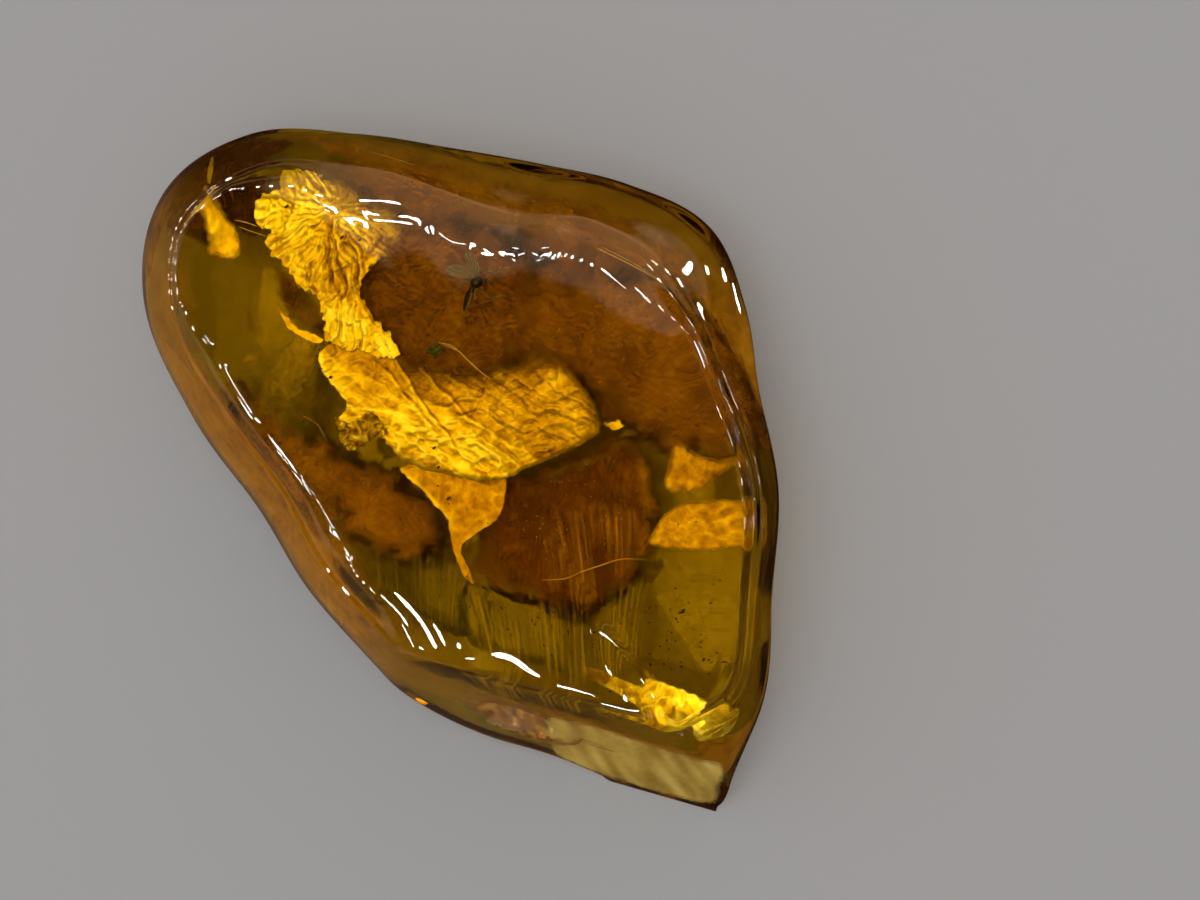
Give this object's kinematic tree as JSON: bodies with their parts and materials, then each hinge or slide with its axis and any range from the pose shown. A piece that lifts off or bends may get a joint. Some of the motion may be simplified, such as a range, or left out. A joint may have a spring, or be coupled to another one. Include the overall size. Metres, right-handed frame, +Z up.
{
  "type": "insect in amber",
  "caption": "Polished see-through amber nugget, rounded wedge in plan, with a flat resting face, a domed top and a broken facet. Gold flakes and a small gnat are sealed inside.",
  "frame": {"origin": "middle of the bounding box in plan, on the flat resting face", "axes": "+Z up out of the domed top, +Y along the nugget's length towards its broad round end, +X towards the side with the sharper corner"},
  "size_m": [0.0272, 0.0424, 0.012],
  "materials": {
    "amber": "clear golden amber, polished to a high gloss, index 1.54",
    "stress_flake": "mirror-bright crinkled stress cracks sealed in the amber, gold",
    "resin_flow": "red-brown flow clouds and debris sealed in the amber",
    "insect": "dark fossil gnat, dull chitin with clear wings",
    "rough_break": "chalky crumbled amber in the chip and along the broken edge"
  },
  "bodies": {
    "root": {"amber_nugget": "amber"}
  },
  "joints": []
}
